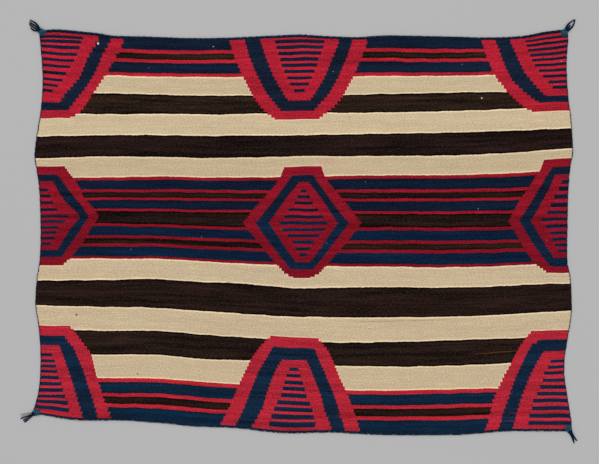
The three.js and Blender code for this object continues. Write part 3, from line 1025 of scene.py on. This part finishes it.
def wool_material(name, dye, unevenness):
    """Plain dyed or natural wool on a cord or tassel."""
    material = bpy.data.materials.new(name)
    material.use_nodes = True
    tree = material.node_tree
    surface = tree.nodes["Principled BSDF"]
    place = add_node(tree, "ShaderNodeTexCoord").outputs["Object"]
    # The lighter ply is painted brighter: partly a paler yarn, partly painted highlight.
    lighter = add_node(tree, "ShaderNodeAttribute", attribute_name="lighter").outputs["Fac"]
    brightness = calculate(tree, "ADD", lighter, 1.0)
    dyed = {0: linear(*dye)[:3], "Scale": brightness}
    colour = add_node(tree, "ShaderNodeVectorMath", dyed, operation="SCALE").outputs[0]
    yarn = group_node(tree, wool, {"Place": place, "Dye": colour, "Unevenness": unevenness})
    bump = add_node(tree, "ShaderNodeBump", {"Height": yarn["Fuzz"], "Strength": 0.5, "Distance": 0.0003})
    tree.links.new(yarn["Colour"], surface.inputs["Base Color"])
    tree.links.new(yarn["Roughness"], surface.inputs["Roughness"])
    tree.links.new(bump.outputs["Normal"], surface.inputs["Normal"])
    surface.inputs["Specular IOR Level"].default_value = WOOL_SHEEN
    return material


SEAM_OVERLAP = 0.0002  # how far the cord beds into the web's rounded edge
HEAD_REACH = 0.0062  # from the middle of a tassel's head to where a cord runs under its wraps
TASSELS = {
    # tassel: where its head lies, which way it points, its half width at root, belly and tip,
    # how far it reaches, how many of its strands are pale warp ends, and its locks, each a count
    # of strands and their share of the reach
    "top_left": {"head": (-0.8990, 0.6930), "heading": 144, "widths": (0.0085, 0.0046, 0.0098),
                 "reach": 0.044, "pale": 0, "locks": [(5, 1.0), (4, 0.97), (5, 0.9), (5, 0.66)]},
    "top_right": {"head": (0.9170, 0.6935), "heading": 52, "widths": (0.0090, 0.0042, 0.0012),
                  "reach": 0.045, "pale": 0, "locks": [(4, 1.0), (4, 0.42), (4, 0.95)]},
    "bottom_left": {"head": (-0.9190, -0.6275), "heading": 202, "widths": (0.0060, 0.0020, 0.0150),
                    "reach": 0.046, "pale": 4, "locks": [(2, 1.0), (2, 0.94), (3, 1.0), (2, 0.9), (3, 0.85)]},
    "bottom_right": {"head": (0.9280, -0.6890), "heading": 299, "widths": (0.0064, -0.0010, 0.0056),
                     "reach": 0.042, "pale": 0, "locks": [(6, 0.98), (4, 0.92)]},
}  # fmt: skip
CORDS = {
    # cord: its width, the length of one turn, and the tassels at its two ends
    "top": {"width": 0.0048, "turn": 0.0190, "ends": ("top_left", "top_right")},
    "right": {"width": 0.0034, "turn": 0.0150, "ends": ("top_right", "bottom_right")},
    "bottom": {"width": 0.0048, "turn": 0.0190, "ends": ("bottom_left", "bottom_right")},
    "left": {"width": 0.0034, "turn": 0.0150, "ends": ("top_left", "bottom_left")},
}
LAY_SHARE = 0.5  # of a cord's radius, from its middle to the middle of a ply
STEPS_A_TURN = 15
# One ply of each cord is painted lighter, partly as a paler yarn and partly as painted highlight on the laid
# cord.
LIGHTER_PLY_AND_HIGHLIGHT = 3.0  # how much brighter one ply of a cord is than the others


def beside_edge(name, distance):
    """The web's edge moved outwards, with how far it lies across and down on the loom."""
    edge = {
        "top": (grid_x[0], grid_y[0], acrosses, 0.0),
        "bottom": (grid_x[-1], grid_y[-1], acrosses, WEB_DEPTH),
        "left": (grid_x[:, 0], grid_y[:, 0], 0.0, depths),
        "right": (grid_x[:, -1], grid_y[:, -1], WEB_WIDTH, depths),
    }[name]
    line = np.column_stack(edge[:2])
    ahead = np.gradient(line, axis=0)
    ahead /= np.linalg.norm(ahead, axis=1)[:, None]
    outward = np.column_stack([-ahead[:, 1], ahead[:, 0]]) * (1 if name in ("top", "right") else -1)
    across, depth = np.broadcast_arrays(edge[2], edge[3])
    return line + outward * distance, np.column_stack([across, depth])


def cord_path(name):
    """The line of a cord's middle: beside the web's edge, and on into the heads at its ends."""
    radius = CORDS[name]["width"] / 2
    line, _ = beside_edge(name, radius - SEAM_OVERLAP)
    heads = [np.array(TASSELS[end]["head"]) for end in CORDS[name]["ends"]]
    clear = np.all([np.linalg.norm(line - head, axis=1) > 2 * HEAD_REACH for head in heads], axis=0)
    line = line[clear]
    inner = []
    for head, near in zip(heads, line[[0, -1]]):
        away = near - head
        inner.append(head + away / np.linalg.norm(away) * HEAD_REACH)
    line = np.vstack([inner[0], line, inner[1]])
    return np.column_stack([line, np.full(len(line), radius)])


indigo_cord = wool_material("indigo cord", (15, 28, 46), 0.4)
for cord_name, cord in CORDS.items():
    radius = cord["width"] / 2
    laid = run_nodes(
        path_object(f"{cord_name}_cord", [cord_path(cord_name)]),
        cord_tree,
        {
            "Ply radius": radius * (1 - LAY_SHARE),
            "Lay radius": radius * LAY_SHARE,
            "Turn length": cord["turn"],
            "Step": cord["turn"] / STEPS_A_TURN,
            "Lighter ply": LIGHTER_PLY_AND_HIGHLIGHT,
            "Material": indigo_cord,
        },
    )
    finish_piece(laid, "edge_cord", f"cord_{cord_name}")


# Turns: along the sides the wefts turn back round the side cord, and along the top and bottom
# the warps' pale loops show between the cord's yarns. Each turn is a short bead of yarn.
BEAD_SEGMENTS, BEAD_RINGS = 10, 6
TURN_MARGIN = 4  # rows or columns left bare at each corner
turn_tree, turn_in, turn_out = node_tree(
    "turns of yarn",
    [
        ("Step", "NodeSocketFloat", 0.006),
        ("Half size", "NodeSocketVector", (0.001, 0.001, 0.001)),
        ("Share", "NodeSocketFloat", 1.0),
        ("Seed", "NodeSocketInt", 0),
        ("Material", "NodeSocketMaterial", None),
    ],
)
ball = {"Segments": BEAD_SEGMENTS, "Rings": BEAD_RINGS, "Radius": 1.0}
bead = add_node(turn_tree, "GeometryNodeMeshUVSphere", ball)
along = {"Vector": add_node(turn_tree, "GeometryNodeInputTangent").outputs[0]}
facing = add_node(turn_tree, "FunctionNodeAlignRotationToVector", along, axis="X")
choice = {"Probability": turn_in["Share"], "Seed": turn_in["Seed"]}
chosen = add_node(turn_tree, "FunctionNodeRandomValue", choice, data_type="BOOLEAN")
sizes = {"Min": (0.8, 0.85, 0.9), "Max": (1.2, 1.1, 1.05), "Seed": turn_in["Seed"]}
uneven_size = add_node(turn_tree, "FunctionNodeRandomValue", sizes, data_type="FLOAT_VECTOR").outputs[0]
beads_placed = add_node(
    turn_tree,
    "GeometryNodeInstanceOnPoints",
    {
        "Points": even_curve(turn_tree, turn_in),
        "Selection": next(item for item in chosen.outputs if item.enabled),
        "Instance": bead.outputs["Mesh"],
        "Rotation": facing.outputs[0],
        "Scale": combine(turn_tree, "MULTIPLY", turn_in["Half size"], uneven_size),
    },
)
real_beads = add_node(turn_tree, "GeometryNodeRealizeInstances", {0: beads_placed.outputs[0]})
spot = {"Name": "loom place"}
loom_place = add_node(turn_tree, "GeometryNodeInputNamedAttribute", spot, data_type="FLOAT_VECTOR")
mapping = {"Geometry": real_beads.outputs[0], "Name": "Loom", "Value": loom_place.outputs[0]}
mapped = add_node(turn_tree, "GeometryNodeStoreNamedAttribute", mapping, data_type="FLOAT2", domain="CORNER")
end_tree(turn_tree, mapped.outputs[0], turn_in["Material"], turn_out)


def turns_along(name, distance, height):
    """A path for turns of yarn, with the loom place and the stripe's yarn at each of its points."""
    line, loom = beside_edge(name, distance)
    points = np.column_stack([line, np.full(len(line), height)])
    inside = slice(TURN_MARGIN, -TURN_MARGIN)
    piece = path_object(f"{name}_turns", [points[inside]])
    places = piece.data.attributes.new("loom place", "FLOAT_VECTOR", "POINT")
    places.data.foreach_set("vector", np.column_stack([loom, np.zeros(len(loom))])[inside].ravel())
    stripe = np.clip(np.searchsorted(stripe_ends, loom[:, 1]) - 1, 0, len(STRIPES) - 1)
    yarns = piece.data.attributes.new("yarn", "FLOAT_COLOR", "POINT")
    yarns.data.foreach_set("color", stripe_colours[stripe][inside].ravel())
    return piece


tapestry_wool = web.data.materials[0]
natural_warp = wool_material("natural warp", (176, 162, 138), 0.2)
WEFT_TURN = {"Step": 0.0066, "Half size": (0.0013, 0.0016, 0.0018), "Material": tapestry_wool}
WARP_LOOP = {"Step": 0.0034, "Half size": (0.0011, 0.0014, 0.0008), "Material": natural_warp}
TURNS = {
    # edge: how far outside the web and how high up its turns lie, what each one is, the share
    # of its places that have one, and the seed that picks them
    "left": (0.0009, 0.0020, WEFT_TURN, 0.62, 0),
    "right": (0.0009, 0.0020, WEFT_TURN, 0.62, 1),
    "top": (0.0026, 0.0043, WARP_LOOP, 0.07, 20),
    "bottom": (0.0026, 0.0043, WARP_LOOP, 0.3, 21),
}
for edge_name, (outside, height, turn, share, seed) in TURNS.items():
    settings = {**turn, "Share": share, "Seed": seed}
    finish_piece(run_nodes(turns_along(edge_name, outside, height), turn_tree, settings), "web")


# Tassels: where two cords meet at a corner they are knotted, bound down over the web's corner,
# wrapped with the same yarn, and left as a loose fan of strands that lies on the floor.
# The tassel yarn's lighter ply is partly a paler yarn and partly painted highlight.
TASSEL_YARN = {
    "Ply radius": 0.00076, "Lay radius": 0.00072, "Turn length": 0.0062, "Step": 0.0008, "Lighter ply": 2.2,
}  # fmt: skip
YARN_RADIUS = 0.00148
PALE_YARN_SHARE = 0.5  # of a tassel yarn's thickness
# Strands: how wide a lock spreads at its tip, how unevenly they are cut, the least and most that
# they sway, how much they rise at the root, and how high each layer lies over the last.
STRAND_POINTS = 18
LOCK_WIDTH = 0.0036
CUT_STRAY = 0.07
SWAYS, SWAY_PACE = (0.0003, 0.0010), 6
ROOT_RISE, ROOT_AHEAD = 0.0012, 0.001
LAYERS, LAYER_HEIGHT = 3, 0.0011
# Wraps round the head: they cover most of its length and draw in towards its ends.
HEAD_LENGTH, HEAD_WIDTH, HEAD_HEIGHT = 0.0150, 0.0170, 0.0066
WRAPS, WRAP_POINTS = 4, 18
WRAPPED_SHARE, DRAWN_IN = 0.86, 0.5
# Binding: stitches side by side that start under the wraps and fan out over the web's corner.
BINDING_STITCHES, STITCH_POINTS = 8, 9
BINDING_START, BINDING_LENGTH = 0.002, 0.0260
BINDING_HALF_WIDTH, BINDING_FLARE, BINDING_ROUND = 0.0078, 0.0036, 0.008
STITCH_LIFT, STITCH_CROWN = 0.0006, 0.0008


def heading_vectors(degrees):
    ahead = np.array([math.cos(math.radians(degrees)), math.sin(math.radians(degrees)), 0.0])
    return ahead, np.array([-ahead[1], ahead[0], 0.0])


def strand_run(tassel, lock, place, chance):
    """One loose strand: out of the head, down on to the floor, and along with the rest of its lock."""
    ahead, outward = heading_vectors(tassel["heading"])
    root_width, belly, tip_width = tassel["widths"]
    count, reach_share = tassel["locks"][lock]
    in_lock = (place + 0.5) / count - 0.5
    lock_share = 2 * lock / (len(tassel["locks"]) - 1) - 1
    root_share = 2 * (lock + 0.5 + in_lock) / len(tassel["locks"]) - 1
    length = tassel["reach"] * reach_share * (1 - abs(chance.normal(0, CUT_STRAY)))
    phase, sway = chance.uniform(0, math.tau), chance.uniform(*SWAYS)
    layer = (lock + place * 2) % LAYERS  # so that neighbours lie over and under each other
    points = []
    for t in np.linspace(0, 1, STRAND_POINTS):
        spread = lock_share * (belly * math.sin(math.pi * t) + tip_width * t**1.3)
        wave = sway * math.sin(phase + SWAY_PACE * t) * t
        aside = root_share * root_width * (1 - t) + spread + in_lock * LOCK_WIDTH * t + wave
        height = YARN_RADIUS + (ROOT_RISE * (1 - t) + layer * LAYER_HEIGHT) * (1 - t**3)
        root = np.array([*tassel["head"], height]) + ahead * ROOT_AHEAD
        points.append(root + ahead * length * t + outward * aside)
    return points


def wrap_run(tassel):
    """The yarn wrapped round the head, turn beside turn."""
    ahead, outward = heading_vectors(tassel["heading"])
    centre = np.array([*tassel["head"], HEAD_HEIGHT / 2])
    points = []
    for t in np.linspace(0, 1, WRAPS * WRAP_POINTS + 1):
        along_head = (2 * t - 1) * WRAPPED_SHARE
        ring = math.sqrt(1 - along_head**2 * DRAWN_IN)
        angle = math.tau * WRAPS * t
        side = outward * math.cos(angle) * (HEAD_WIDTH / 2 - YARN_RADIUS) * ring
        rise = np.array([0, 0, math.sin(angle) * (HEAD_HEIGHT / 2 - YARN_RADIUS)])
        points.append(centre + ahead * along_head * (HEAD_LENGTH / 2 - YARN_RADIUS) + side + rise)
    return points


def binding_run(tassel, index):
    """One stitch that ties the head down: over the web's corner and back."""
    ahead, outward = heading_vectors(tassel["heading"])
    share = 2 * index / (BINDING_STITCHES - 1) - 1
    centre = np.array([*tassel["head"], 0.0])
    back = BINDING_LENGTH - BINDING_ROUND * share**2
    rise = WEB_THICKNESS + YARN_RADIUS + STITCH_LIFT
    points = []
    for t in np.linspace(0, 1, STITCH_POINTS):
        aside = outward * share * (BINDING_HALF_WIDTH + BINDING_FLARE * t)
        lift = np.array([0, 0, rise + STITCH_CROWN * math.sin(math.pi * t)])
        points.append(centre - ahead * (back * t + BINDING_START) + aside + lift)
    return points


def tassel_part(name, runs, material, thickness=1.0):
    """A piece of tassel yarn that follows one or more runs of points."""
    yarn = {**TASSEL_YARN, "Material": material}
    yarn["Ply radius"] *= thickness
    yarn["Lay radius"] *= thickness
    return run_nodes(path_object(name, runs), cord_tree, yarn)


indigo_tassel = wool_material("indigo tassel yarn", (9, 26, 45), 0.5)
indigo_binding = wool_material("faded indigo binding", (34, 68, 88), 0.6)
worn_warp = wool_material("worn warp ends", (140, 132, 120), 0.4)
for tassel_name, tassel in TASSELS.items():
    chance = np.random.default_rng(len(tassel_name) * 31 + tassel["heading"])
    strands = [
        strand_run(tassel, lock, place, chance)
        for lock, (count, _) in enumerate(tassel["locks"])
        for place in range(count)
    ]
    pale = tassel["pale"]
    fan = tassel_part(f"{tassel_name}_tassel", [*strands[pale:], wrap_run(tassel)], indigo_tassel)
    finish_piece(fan, "tassel_yarn", f"tassel_{tassel_name}")
    stitches = [binding_run(tassel, index) for index in range(BINDING_STITCHES)]
    finish_piece(tassel_part(f"{tassel_name}_binding", stitches, indigo_binding), "tassel_yarn")
    if pale:
        ends = tassel_part(f"{tassel_name}_warp_ends", strands[:pale], worn_warp, PALE_YARN_SHARE)
        finish_piece(ends, "tassel_yarn")
